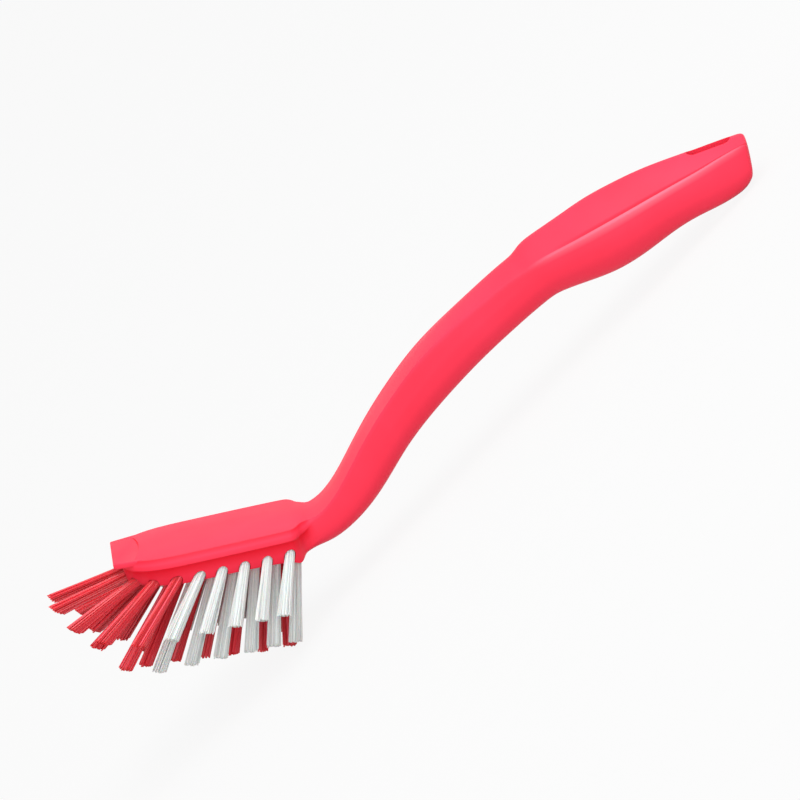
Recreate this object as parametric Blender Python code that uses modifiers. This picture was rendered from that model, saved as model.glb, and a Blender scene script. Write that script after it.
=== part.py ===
"""Dish brush: a one-piece moulded handle and head, set with tufts of bristle on steel anchors.

The head lies level while it is modelled. x runs from the nose to the hanging end, y across
and z up, with the neck at x = 0 and the plateau of the head at z = 0. The brush is then laid
down as it rests on a table: on its rear bristle tips and on the end of its handle.
"""

import math
from dataclasses import dataclass

import bmesh
import bpy
from mathutils import Matrix, Vector

MM = 0.001

# Head block
PLATEAU_WIDTH = 39.4 * MM
SHOULDER_REACH = 1.4 * MM
SHOULDER_DROP = 3.2 * MM
WALL_DRAFT = 1.3 * MM
BLOCK_DEPTH = 13.0 * MM
UNDERSIDE_CROWN = 1.5 * MM
HEAD_LENGTH = 64.5 * MM
NOSE_LENGTH = 22.5 * MM
NOSE_LIFT = 4.0 * MM
HEEL_LENGTH = 6.5 * MM
HEEL_DROP = 1.2 * MM

# Scraper lip
LIP_WIDTH = 32.6 * MM
LIP_REACH = 2.2 * MM
LIP_LENGTH = 11.0 * MM
LIP_THICKNESS = 2.0 * MM
LIP_STEP = 0.6 * MM
LIP_SEAT = 0.05 * MM
LIP_STEP_RADIUS = 44.0 * MM
LIP_STEP_PLACE = 7.5 * MM
LIP_ROUNDING = 0.4 * MM

# Handle
HANDLE_RUN = 175.5 * MM
HANDLE_RISE = 90.0 * MM
NECK_WIDTH = 22.8 * MM
NECK_DEPTH = 11.8 * MM
SHAFT_WIDTH = 22.0 * MM
SHAFT_DEPTH = 17.5 * MM
SHAFT_END_DEPTH = 19.2 * MM
GRIP_WIDTH = 30.0 * MM
GRIP_DEPTH = 27.2 * MM
WAIST_WIDTH = 23.0 * MM
WAIST_DEPTH = 21.4 * MM
TIP_WIDTH = 19.0 * MM
TIP_DEPTH = 19.2 * MM

# Hanging slot
SLOT_LENGTH = 16.0 * MM
SLOT_WIDTH = 6.2 * MM
SLOT_END_WALL = 4.5 * MM

# Tuft holes, and the flat anchor that crosses each of them
HOLE_DIAMETER = 4.0 * MM
HOLE_DEPTH = 6.6 * MM
ANCHOR_THICKNESS = 0.5 * MM
ANCHOR_HEIGHT = 1.6 * MM
ANCHOR_SEAT = 1.6 * MM
FIT = 0.3 * MM

# Tufts
TUFT_PROUD = 0.4 * MM
TUFT_TIP_WIDTH = 4.6 * MM
STRAND_RADIUS = 0.48 * MM
STRAND_ROOT = 0.2 * MM
STRANDS_ROUND = 7

# Outer ring of tufts: the holes, then the trimmed tips
OUTER_REAR = 7.2 * MM
OUTER_NOSE_INSET = 1.5 * MM
OUTER_MOUTH_DEPTH = 9.0 * MM
OUTER_MOUTH_LIFT = 1.5 * MM
OUTER_SPLAY = 13.7 * MM
OUTER_TIP_DEPTH = 25.0 * MM
OUTER_TIP_LIFT = 14.0 * MM
OUTER_REAR_LEAN = 6.0 * MM
OUTER_NOSE_LEAN = 27.0 * MM

# Middle ring of tufts
MIDDLE_REAR = 5.2 * MM
MIDDLE_NOSE_INSET = 7.5 * MM
MIDDLE_SPLAY = 8.2 * MM
MIDDLE_TIP_DEPTH = 38.5 * MM
MIDDLE_TIP_LIFT = 20.0 * MM
MIDDLE_REAR_LEAN = 6.3 * MM
MIDDLE_NOSE_LEAN = 24.3 * MM

# Two inner rows of tufts
INNER_REAR = 8.8 * MM
INNER_NOSE_INSET = 19.2 * MM
INNER_SPLAY = 4.4 * MM
INNER_TIP_DEPTH = 43.0 * MM
INNER_TIP_LIFT = 4.0 * MM
INNER_REAR_LEAN = 4.8 * MM
INNER_FRONT_LEAN = 18.2 * MM

# Margin by which a cut runs past what it cuts
OVERRUN = 8.0 * MM

# Middle line of the handle, as shares of its run and of its rise
SPINE_SHARES = (
    (0.023, -0.067), (0.051, -0.048), (0.083, -0.005), (0.114, 0.052), (0.148, 0.130),
    (0.194, 0.238), (0.251, 0.345), (0.313, 0.447), (0.382, 0.543), (0.456, 0.631),
    (0.519, 0.701), (0.553, 0.737), (0.593, 0.767), (0.638, 0.796), (0.684, 0.822),
    (0.741, 0.858), (0.798, 0.897), (0.855, 0.924), (0.900, 0.940), (0.940, 0.956),
    (0.972, 0.968), (0.990, 0.972), (0.9995, 0.972),
)
# Where along the run each named section of the handle lies
NECK_SHARE, SHAFT_SHARE, SHAFT_END_SHARE = 0.02, 0.17, 0.52
GRIP_SHARE, WAIST_SHARE, TIP_SHARE = 0.69, 0.88, 0.97
# Height of the ridge beside the top face, as shares of the half depth, along the run
RIDGE_SHARES = (
    (0.0, 0.92), (0.15, 0.82), (0.24, 0.58), (0.50, 0.39), (0.56, 0.38), (0.62, 0.32), (0.80, 0.38),
    (0.90, 0.53), (1.0, 0.76),
)
# Height of the top face's middle in the same shares
CROWN_SHARES = (
    (0.0, 1.0), (0.519, 0.98), (0.553, 1.08), (0.62, 0.96), (0.72, 1.0), (0.90, 0.98), (1.0, 1.03),
)
# Width of the hanging end, and depth of its underside, as shares of the full size along the run
END_WIDTH_SHARES = ((0.0, 1.0), (0.93, 1.0), (0.972, 0.96), (0.990, 0.86), (1.0, 0.70))
END_LOWER_SHARES = ((0.0, 1.0), (0.94, 1.0), (0.972, 0.90), (0.990, 0.67), (1.0, 0.40))
# Sharpness of the ridge along the run
RIDGE_CREASE_SHARES = ((0.0, 0.7), (0.15, 0.4), (0.5, 0.3), (0.56, 0.9), (0.95, 0.8), (1.0, 0.3))
# Half section of the handle from the middle of the top to the middle of the underside
ACROSS_SHARES = (0.0, 0.52, 0.90, 1.0, 0.98, 0.80, 0.42, 0.0)
LOWER_UP_SHARES = (-0.25, -0.74, -1.0, -1.03)
TOP_FALL_SHARE = 0.22
BELOW_RIDGE_SHARE = 0.42
# Sharpness of the plateau's edge, of the shoulder and of the lower edge of the head
HEAD_CREASE_SHARES = (1.0, 0.9, 0.9)
# Turns round the nose at which the head has a section, as shares of a right angle
NOSE_SHARES = (0.88, 0.72, 0.55, 0.37, 0.18, 0.0)
# Sections along the level part of the head, as shares of its length
FLANK_SHARES = (0.30, 0.65, 1.0)
# Sections through the heel, as shares of its length, of the plateau's width and of the heel's drop
HEEL_SHARES = ((0.90, 1.0, 0.3), (0.55, 0.93, 1.0), (0.25, 0.76, 0.9), (0.0, 0.62, -0.9))
# Distance of each ring's flank from the middle, as a share of half the plateau's width
OUTER_SIDE_SHARE = 0.98
MIDDLE_SIDE_SHARE = 0.634
INNER_SIDE_SHARE = 0.2335
# Where round a ring the tufts begin to lean further forward, as a share of its length
LEAN_START_SHARE = 0.1

# Points of a half section that lie on the ridge, the shoulder and the lower edge
RIDGE_INDEX = 2
SHOULDER_INDEX = 3
LOWER_EDGE_INDEX = 5

# Counts: tufts on one side of each ring, with how many of them are white from the rear on
OUTER_COUNT = 9
OUTER_WHITE_COUNT = 5
MIDDLE_COUNT = 8
MIDDLE_WHITE_COUNT = 6
INNER_COUNT = 6
HALF_POINTS = len(ACROSS_SHARES)
BODY_LEVELS = 1
HOLE_SIDES = 12
STRAND_SIDES = 3
STEP_SIDES = 120
SLOT_END_SIDES = 6
SETTLING_STEPS = 8
MERGE = 0.01 * MM
# A subdivided ring of points shrinks by the inverse of this
SWELL = 6.0 / (4.0 + 2.0 * math.cos(math.pi / (HALF_POINTS - 1)))

COLOURS = {
    "red_plastic": ((255, 72, 98), 0.28),
    "red_bristle": ((205, 48, 58), 0.45),
    "white_bristle": ((234, 235, 232), 0.5),
}


# Shared helpers

def clear_scene():
    for item in list(bpy.data.objects):
        bpy.data.objects.remove(item, do_unlink=True)


def collection(name):
    group = bpy.data.collections.new(name)
    bpy.context.scene.collection.children.link(group)
    return group


def material(name):
    (red, green, blue), roughness = COLOURS[name]
    made = bpy.data.materials.new(name)
    made.use_nodes = True
    shader = made.node_tree.nodes["Principled BSDF"]
    linear = [(value / 255.0) ** 2.2 for value in (red, green, blue)]
    shader.inputs["Base Color"].default_value = (*linear, 1.0)
    shader.inputs["Roughness"].default_value = roughness
    shader.inputs["Metallic"].default_value = 0.0
    made.diffuse_color = (*linear, 1.0)
    return made


def blend(low, high, share):
    return low + (high - low) * share


def ease(share):
    """Smooth start and end between 0 and 1."""
    share = min(max(share, 0.0), 1.0)
    return share * share * (3.0 - 2.0 * share)


def read_off(table, place):
    """Value of a table of (place, value) at a place, eased from row to row."""
    for (start, low), (end, high) in zip(table, table[1:]):
        if place <= end:
            return blend(low, high, ease((place - start) / (end - start)))
    return table[-1][1]


def new_mesh(name, bm):
    mesh = bpy.data.meshes.new(name)
    bm.to_mesh(mesh)
    bm.free()
    return mesh


def boolean_mesh(name, base, tool, operation):
    """The mesh that is left when one closed mesh is joined to, or cut by, another."""
    pair = [bpy.data.objects.new(name, mesh) for mesh in (base, tool)]
    for item in pair:
        bpy.context.scene.collection.objects.link(item)
    step = pair[0].modifiers.new(operation, "BOOLEAN")
    step.operation = operation
    step.object = pair[1]
    bpy.context.view_layer.update()
    result = bpy.data.meshes.new_from_object(pair[0].evaluated_get(bpy.context.evaluated_depsgraph_get()))
    result.name = name
    for item in pair:
        bpy.data.objects.remove(item, do_unlink=True)
    return result


def box(bm, size, centre):
    place = Matrix.Translation(centre) @ Matrix.Diagonal((*size, 1.0))
    return bmesh.ops.create_cube(bm, size=1.0, matrix=place)["verts"]


def prism(bm, sides, radius, low, high):
    """An upright cylinder, or with few sides a prism, between two heights."""
    return bmesh.ops.create_cone(
        bm, cap_ends=True, segments=sides, radius1=radius, radius2=radius, depth=high - low,
        matrix=Matrix.Translation((0.0, 0.0, (low + high) / 2.0)),
    )["verts"]


# Outline of the head

def nose_centre():
    return NOSE_LENGTH - HEAD_LENGTH


def nose_angle(x):
    """How far round the nose a place is: 0 beside it, a right angle at its front."""
    share = (nose_centre() - x) / NOSE_LENGTH
    return math.asin(min(max(share, 0.0), 1.0))


def underside(x, y):
    """Height of the head's underside, which is crowned across and lifts towards the nose."""
    across = y / (PLATEAU_WIDTH / 2.0)
    lift = NOSE_LIFT * (1.0 - math.cos(nose_angle(x)))
    return UNDERSIDE_CROWN * across * across + lift - BLOCK_DEPTH


# Handle and head, lofted through sections that change from a block to a grip

def head_section(x, width_share, drop):
    """Half section of the head from the middle of the plateau to the middle of the underside."""
    top = PLATEAU_WIDTH / 2.0 * width_share
    side = (PLATEAU_WIDTH / 2.0 + SHOULDER_REACH) * width_share
    foot = side - WALL_DRAFT * width_share
    edge = underside(x, PLATEAU_WIDTH / 2.0) - drop
    middle = underside(x, 0.0) - drop
    half = (
        (0.0, 0.0), (top / 2.0, 0.0), (top, 0.0), (side, -SHOULDER_DROP),
        ((side + foot) / 2.0, (edge - SHOULDER_DROP) / 2.0), (foot, edge),
        (foot / 2.0, underside(x, foot / 2.0) - drop), (0.0, middle),
    )
    return [Vector((x, y, z)) for y, z in half], HEAD_CREASE_SHARES


def handle_sizes(run):
    """Half width and half depth of the handle at a share of its run."""
    places = (NECK_SHARE, SHAFT_SHARE, SHAFT_END_SHARE, GRIP_SHARE, WAIST_SHARE, TIP_SHARE)
    widths = (NECK_WIDTH, SHAFT_WIDTH, SHAFT_WIDTH, GRIP_WIDTH, WAIST_WIDTH, TIP_WIDTH)
    depths = (NECK_DEPTH, SHAFT_DEPTH, SHAFT_END_DEPTH, GRIP_DEPTH, WAIST_DEPTH, TIP_DEPTH)
    width = read_off(list(zip(places, widths)), run)
    depth = read_off(list(zip(places, depths)), run)
    return width / 2.0 * SWELL, depth / 2.0 * SWELL


def spine_point(index):
    run, rise = SPINE_SHARES[index]
    return Vector((run * HANDLE_RUN, 0.0, rise * HANDLE_RISE))


def spine_direction(index):
    """Direction of the handle's middle line at one of its points."""
    before = spine_point(max(index - 1, 0))
    after = spine_point(min(index + 1, len(SPINE_SHARES) - 1))
    return (after - before).normalized()


def handle_section(index):
    """Half section of the handle, square to its middle line."""
    run = SPINE_SHARES[index][0]
    half_width, half_depth = handle_sizes(run)
    ridge, crown = read_off(RIDGE_SHARES, run), read_off(CROWN_SHARES, run)
    upper = (crown, blend(crown, ridge, TOP_FALL_SHARE), ridge, ridge - BELOW_RIDGE_SHARE)
    along = spine_direction(index)
    up_way = Vector((-along.z, 0.0, along.x))
    end_width, end_lower = read_off(END_WIDTH_SHARES, run), read_off(END_LOWER_SHARES, run)
    lower = tuple(up * end_lower for up in LOWER_UP_SHARES)
    points = []
    for across, up in zip(ACROSS_SHARES, upper + lower):
        offset = up_way * (up * half_depth) + Vector((0.0, across * end_width * half_width, 0.0))
        points.append(spine_point(index) + offset)
    return points, (read_off(RIDGE_CREASE_SHARES, run), 0.0, 0.0)


def body_sections():
    """All half sections from the front of the nose to the hanging end."""
    sections = []
    for share in NOSE_SHARES:
        turn = share * math.pi / 2.0
        sections.append(head_section(nose_centre() - NOSE_LENGTH * math.sin(turn), math.cos(turn), 0.0))
    for share in FLANK_SHARES[:-1]:
        sections.append(head_section(blend(nose_centre(), -HEEL_LENGTH, share), 1.0, 0.0))
    for place, width, drop in HEEL_SHARES:
        sections.append(head_section(-HEEL_LENGTH * place, width, HEEL_DROP * drop))
    for index in range(len(SPINE_SHARES)):
        sections.append(handle_section(index))
    return sections


def body_mesh():
    """Open half of the loft; its mirror image closes it."""
    bm = bmesh.new()
    crease = bm.edges.layers.float.new("crease_edge")
    sections = body_sections()
    rings = [[bm.verts.new(point) for point in points] for points, _ in sections]
    for ring, following in zip(rings, rings[1:]):
        for low in range(HALF_POINTS - 1):
            bm.faces.new((ring[low], following[low], following[low + 1], ring[low + 1]))
    bm.faces.new(rings[0])
    bm.faces.new(list(reversed(rings[-1])))
    for number, (ring, following) in enumerate(zip(rings, rings[1:])):
        for line, sharpness in zip((RIDGE_INDEX, SHOULDER_INDEX, LOWER_EDGE_INDEX), sections[number][1]):
            bm.edges.get((ring[line], following[line]))[crease] = sharpness
    return new_mesh("moulded_handle_and_head", bm)


def add_modifier(item, kind, **settings):
    step = item.modifiers.new(kind.lower(), kind)
    for name, value in settings.items():
        setattr(step, name, value)
    return step


# Cutters and additions of the moulding

def lip_mesh():
    """Flat scraper lip that juts from the nose."""
    bm = bmesh.new()
    front = -HEAD_LENGTH - LIP_REACH
    size = (LIP_LENGTH, LIP_WIDTH, LIP_THICKNESS)
    box(bm, size, (front + LIP_LENGTH / 2.0, 0.0, -LIP_STEP - LIP_SEAT - LIP_THICKNESS / 2.0))
    bmesh.ops.bevel(bm, geom=bm.edges[:], offset=LIP_ROUNDING, segments=2, profile=0.5, affect="EDGES")
    return new_mesh("scraper_lip", bm)


def step_mesh():
    """Disc that lowers the lip and leaves the hollow front edge of the plateau."""
    bm = bmesh.new()
    prism(bm, STEP_SIDES, LIP_STEP_RADIUS, -LIP_STEP, OVERRUN)
    edge = LIP_STEP_PLACE - HEAD_LENGTH
    bmesh.ops.translate(bm, verts=bm.verts[:], vec=(edge - LIP_STEP_RADIUS, 0.0, 0.0))
    return new_mesh("lip_step", bm)


def slot_place():
    """Turn and shift that set the slot on the last stretch of the handle's middle line."""
    end = spine_point(len(SPINE_SHARES) - 1)
    along = (end - spine_point(len(SPINE_SHARES) - 5)).normalized()
    centre = end - along * (SLOT_END_WALL + SLOT_LENGTH / 2.0)
    return Matrix.Translation(centre) @ Matrix.Rotation(-math.atan2(along.z, along.x), 4, "Y")


def slot_mesh():
    """Hanging slot: a flat outline with round ends, square to the end of the handle."""
    radius = SLOT_WIDTH / 2.0
    straight = SLOT_LENGTH / 2.0 - radius
    outline = bpy.data.curves.new("hanging_slot", "CURVE")
    outline.dimensions = "2D"
    outline.fill_mode = "BOTH"
    outline.extrude = TIP_DEPTH
    line = outline.splines.new("POLY")
    corners = []
    for end in (1.0, -1.0):
        for step in range(SLOT_END_SIDES + 1):
            turn = math.pi * (step / SLOT_END_SIDES - 0.5)
            along, across = straight + radius * math.cos(turn), radius * math.sin(turn)
            corners.append((end * along, end * across, 0.0, 1.0))
    line.points.add(len(corners) - 1)
    for point, corner in zip(line.points, corners):
        point.co = corner
    line.use_cyclic_u = True
    guide = bpy.data.objects.new("hanging_slot", outline)
    bpy.context.scene.collection.objects.link(guide)
    bpy.context.view_layer.update()
    mesh = bpy.data.meshes.new_from_object(guide.evaluated_get(bpy.context.evaluated_depsgraph_get()))
    bpy.data.objects.remove(guide, do_unlink=True)
    bm = bmesh.new()
    bm.from_mesh(mesh)
    bmesh.ops.remove_doubles(bm, verts=bm.verts[:], dist=MERGE)
    bm.transform(slot_place())
    return new_mesh("hanging_slot", bm)


# Tufts

@dataclass(frozen=True)
class Tuft:
    """One tuft: where its hole opens, where its trimmed end lies, and which way its anchor runs."""

    name: str
    colour: str
    mouth: Vector
    tip: Vector
    row: Vector

    def place(self):
        """Turn and shift that stand the tuft's own z axis along its bristles and x along its anchor."""
        out = (self.tip - self.mouth).normalized()
        across = out.cross(self.row).normalized()
        turn = Matrix((across.cross(out), across, out)).transposed()
        return Matrix.Translation(self.mouth) @ turn.to_4x4()

    def length(self):
        return (self.tip - self.mouth).length


def mirrored_pair(name, colour, number, mouth, tip, row):
    """The same tuft on the left and on the right of the head."""
    pair = []
    for side, sign in (("left", -1.0), ("right", 1.0)):
        flip = Matrix.Diagonal((1.0, sign, 1.0))
        label = f"{name}_{colour}_tuft_{side}_{number}"
        pair.append(Tuft(label, f"{colour}_bristle", flip @ mouth, flip @ tip, flip @ row))
    return pair


def ring_tufts(name, counts, holes, tips, leans, mouth_height, on_nose):
    """Tufts along both flanks and round the nose, leaning and fanning forward more and more."""
    count, white = counts
    side_share, rear, nose_inset = holes
    splay, tip_depth, tip_lift = tips
    side = PLATEAU_WIDTH / 2.0 * side_share
    reach = NOSE_LENGTH - nose_inset
    straight = HEAD_LENGTH - NOSE_LENGTH - rear
    round_radius = (reach + side) / 2.0
    total = straight + round_radius * math.pi / 2.0
    pitch = total / (count if on_nose else count - 0.5)
    tufts = []
    for number in range(count + on_nose):
        distance = number * pitch
        turn = max(distance - straight, 0.0) / round_radius
        x = -rear - min(distance, straight) - reach * math.sin(turn)
        y = side * math.cos(turn)
        forward = ease((distance / total - LEAN_START_SHARE) / (1.0 - LEAN_START_SHARE))
        mouth = Vector((x, y, mouth_height(x, y, turn)))
        height = tip_lift * (1.0 - math.cos(turn)) - tip_depth
        tip = Vector((x - blend(*leans, forward), y * (side + splay) / side, height))
        row = Vector((-reach * math.cos(turn), -side * math.sin(turn), 0.0))
        if number == count:
            tufts.append(Tuft(f"{name}_red_tuft_nose", "red_bristle", mouth, tip, row))
        else:
            tufts += mirrored_pair(name, "white" if number < white else "red", number + 1, mouth, tip, row)
    return tufts


def inner_tufts():
    """Two straight rows of red tufts along the middle of the head."""
    side = PLATEAU_WIDTH / 2.0 * INNER_SIDE_SHARE
    tufts = []
    for number in range(INNER_COUNT):
        share = number / (INNER_COUNT - 1)
        x = -blend(INNER_REAR, HEAD_LENGTH - INNER_NOSE_INSET, share)
        mouth = Vector((x, side, underside(x, side)))
        lean = blend(INNER_REAR_LEAN, INNER_FRONT_LEAN, share)
        tip = Vector((x - lean, side + INNER_SPLAY, INNER_TIP_LIFT * ease(share) - INNER_TIP_DEPTH))
        tufts += mirrored_pair("inner", "red", number + 1, mouth, tip, Vector((-1.0, 0.0, 0.0)))
    return tufts


def all_tufts():
    """The outer ring, the middle ring and the inner rows, each from the rear forward."""
    outer = ring_tufts(
        "outer", (OUTER_COUNT, OUTER_WHITE_COUNT), (OUTER_SIDE_SHARE, OUTER_REAR, OUTER_NOSE_INSET),
        (OUTER_SPLAY, OUTER_TIP_DEPTH, OUTER_TIP_LIFT), (OUTER_REAR_LEAN, OUTER_NOSE_LEAN),
        lambda x, y, turn: OUTER_MOUTH_LIFT * (1.0 - math.cos(turn)) - OUTER_MOUTH_DEPTH, False,
    )
    middle = ring_tufts(
        "middle", (MIDDLE_COUNT, MIDDLE_WHITE_COUNT), (MIDDLE_SIDE_SHARE, MIDDLE_REAR, MIDDLE_NOSE_INSET),
        (MIDDLE_SPLAY, MIDDLE_TIP_DEPTH, MIDDLE_TIP_LIFT), (MIDDLE_REAR_LEAN, MIDDLE_NOSE_LEAN),
        lambda x, y, turn: underside(x, y), True,
    )
    return outer + middle + inner_tufts()


def anchor_box(bm, margin):
    """The flat anchor across a hole, or with a margin the eye that the folded tuft leaves for it."""
    size = (OVERRUN, ANCHOR_THICKNESS + 2.0 * margin, ANCHOR_HEIGHT + 2.0 * margin)
    box(bm, size, (0.0, 0.0, ANCHOR_SEAT + ANCHOR_HEIGHT / 2.0 - HOLE_DEPTH))


def root_mesh():
    """Folded root of a tuft, with the eye for its anchor."""
    solid, eye = bmesh.new(), bmesh.new()
    prism(solid, HOLE_SIDES, HOLE_DIAMETER / 2.0 - FIT, FIT - HOLE_DEPTH, TUFT_PROUD)
    anchor_box(eye, FIT)
    return boolean_mesh("tuft_root", new_mesh("solid", solid), new_mesh("eye", eye), "DIFFERENCE")


def hole_mesh():
    """Cutter of one tuft hole, which leaves the anchor standing across it."""
    solid, anchor = bmesh.new(), bmesh.new()
    prism(solid, HOLE_SIDES, HOLE_DIAMETER / 2.0, -HOLE_DEPTH, OVERRUN)
    anchor_box(anchor, 0.0)
    return boolean_mesh("tuft_hole", new_mesh("solid", solid), new_mesh("anchor", anchor), "DIFFERENCE")


def tuft_mesh(name, root, length):
    """Strands that stand on the folded root and spread towards their trimmed ends."""
    seat = (HOLE_DIAMETER / 2.0 - FIT) * math.cos(math.pi / HOLE_SIDES) - STRAND_RADIUS
    spread = TUFT_TIP_WIDTH / 2.0 - STRAND_RADIUS
    places = [(0.0, 0.0, 0.0)]
    for number in range(STRANDS_ROUND):
        places.append((seat, spread, 2.0 * math.pi * number / STRANDS_ROUND))
    bm = bmesh.new()
    for low, high, turn in places:
        verts = prism(bm, STRAND_SIDES, STRAND_RADIUS, TUFT_PROUD - STRAND_ROOT, length)
        middle = (TUFT_PROUD + length) / 2.0
        facing = Matrix.Rotation(turn + math.pi / 2.0, 3, "Z")
        for vert in verts:
            out = high if vert.co.z > middle else low
            vert.co = facing @ vert.co + Vector((out * math.cos(turn), out * math.sin(turn), 0.0))
    return boolean_mesh(name, root, new_mesh("strands", bm), "UNION")


def joined_mesh(name, mesh, places):
    """One mesh with a copy of another at each place."""
    bm = bmesh.new()
    for place in places:
        first = len(bm.verts)
        bm.from_mesh(mesh)
        bm.verts.ensure_lookup_table()
        bmesh.ops.transform(bm, matrix=place, verts=bm.verts[first:])
    return new_mesh(name, bm)


# Assembly

def add_object(group, name, mesh, parent, place=None, finish=None):
    item = bpy.data.objects.new(name, mesh)
    group.objects.link(item)
    item.parent = parent
    if place is not None:
        item.matrix_local = place
    if finish is not None:
        mesh.materials.clear()
        mesh.materials.append(finish)
    return item


def smooth(mesh, angle):
    mesh.shade_smooth()
    mesh.set_sharp_from_angle(angle=math.radians(angle))


def lay_down(frame, points):
    """Turn and shift the frame so that the brush rests on its bristle tips and its handle's end."""
    head = [point for point in points if point.x < 0.0]
    handle = [point for point in points if point.x > 0.0]
    tilt = 0.0
    for _ in range(SETTLING_STEPS):
        down = Vector((math.sin(tilt), 0.0, -math.cos(tilt)))
        foot = max(head, key=down.dot)
        heel = max(handle, key=down.dot)
        tilt = math.atan2(heel.z - foot.z, heel.x - foot.x)
    turned = [Matrix.Rotation(tilt, 3, "Y") @ point for point in points]
    middle = (min(p.x for p in turned) + max(p.x for p in turned)) / 2.0
    frame.rotation_euler = (0.0, tilt, 0.0)
    frame.location = (-middle, 0.0, -min(p.z for p in turned))


def build():
    clear_scene()
    parts, cutters = collection("dish_brush"), collection("cutters")
    finishes = {name: material(name) for name in COLOURS}
    frame = bpy.data.objects.new("rest_frame", None)
    bpy.context.scene.collection.objects.link(frame)

    tufts = all_tufts()
    root = root_mesh()
    points = []
    for tuft in tufts:
        mesh = tuft_mesh(tuft.name, root.copy(), tuft.length())
        smooth(mesh, 30.0)
        add_object(parts, tuft.name, mesh, frame, tuft.place(), finishes[tuft.colour])
        points += [tuft.place() @ vert.co for vert in mesh.vertices]

    cage = body_mesh()
    smooth(cage, 180.0)
    body = add_object(parts, "moulded_handle_and_head", cage, frame, None, finishes["red_plastic"])
    add_modifier(body, "MIRROR", use_axis=(False, True, False), use_clip=True, merge_threshold=MERGE)
    add_modifier(body, "SUBSURF", levels=BODY_LEVELS, render_levels=BODY_LEVELS)
    bpy.context.view_layer.update()
    shaped = body.evaluated_get(bpy.context.evaluated_depsgraph_get()).data
    points += [vert.co.copy() for vert in shaped.vertices]

    holes = joined_mesh("tuft_holes", hole_mesh(), [tuft.place() for tuft in tufts])
    cuts = (step_mesh(), slot_mesh(), holes)
    for mesh, operation in [(lip_mesh(), "UNION")] + [(cut, "DIFFERENCE") for cut in cuts]:
        tool = add_object(cutters, mesh.name, mesh, frame)
        tool.hide_render = True
        tool.display_type = "WIRE"
        add_modifier(body, "BOOLEAN", operation=operation, object=tool)
    lay_down(frame, points)
    bpy.context.view_layer.update()


build()
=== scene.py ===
"""Dish brush: one-piece moulding, steel anchors and bristle tufts, on a pale floor.

The brush is modelled with its head level, nose towards -x, as the mould maker draws it, and
then laid down as it rests on a table. All sizes are metres.
"""

import logging
import math
import random
from dataclasses import dataclass, field
from enum import Enum

import bmesh
import bpy
from mathutils import Matrix, Vector


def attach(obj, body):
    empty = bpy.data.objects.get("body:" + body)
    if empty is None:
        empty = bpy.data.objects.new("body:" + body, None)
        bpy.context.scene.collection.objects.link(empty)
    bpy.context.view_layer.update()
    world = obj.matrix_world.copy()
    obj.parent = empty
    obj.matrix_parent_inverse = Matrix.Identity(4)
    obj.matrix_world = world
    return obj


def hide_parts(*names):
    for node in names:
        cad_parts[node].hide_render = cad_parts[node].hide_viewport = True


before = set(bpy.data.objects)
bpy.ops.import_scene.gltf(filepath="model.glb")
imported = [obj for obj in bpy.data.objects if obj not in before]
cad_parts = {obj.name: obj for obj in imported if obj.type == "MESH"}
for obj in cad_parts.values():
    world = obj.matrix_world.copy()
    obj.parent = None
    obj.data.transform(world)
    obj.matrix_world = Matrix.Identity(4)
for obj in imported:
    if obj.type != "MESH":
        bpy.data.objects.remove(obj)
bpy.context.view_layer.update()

MM = 0.001
BODY = "root"
log = logging.getLogger("dish_brush")

Table = tuple[tuple[float, float], ...]
Colour = tuple[float, float, float]
BLACK: Colour = (0.0, 0.0, 0.0)
WHITE: Colour = (1.0, 1.0, 1.0)


# Arithmetic


def blend(low: float, high: float, share: float) -> float:
    """Value at a share of the way from low to high."""
    return low + (high - low) * share


def ease(share: float) -> float:
    """Share between 0 and 1 with a smooth start and end."""
    share = min(max(share, 0.0), 1.0)
    return share * share * (3.0 - 2.0 * share)


def read_off(table: Table, place: float) -> float:
    """Read a value off a table, eased from row to row.

    Args:
        table: Rows of place and value, in order of place.
        place: Where to read.

    Returns:
        The value there, or the last row's value past the end.
    """
    for (start, low), (end, high) in zip(table, table[1:]):
        if place <= end:
            return blend(low, high, ease((place - start) / (end - start)))
    return table[-1][1]


def srgb(red: float, green: float, blue: float) -> Colour:
    """Turn a colour as seen into the linear values that shaders take.

    Args:
        red: Red in 255ths.
        green: Green in 255ths.
        blue: Blue in 255ths.

    Returns:
        The linear colour.
    """
    return tuple(
        part / 12.92 if part <= 0.04045 else ((part + 0.055) / 1.055) ** 2.4
        for part in (red / 255.0, green / 255.0, blue / 255.0)
    )


# Bench: the few moves that every piece is modelled with


class Join(Enum):
    """How one solid acts on another."""

    ADD = "UNION"
    CUT = "DIFFERENCE"


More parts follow.
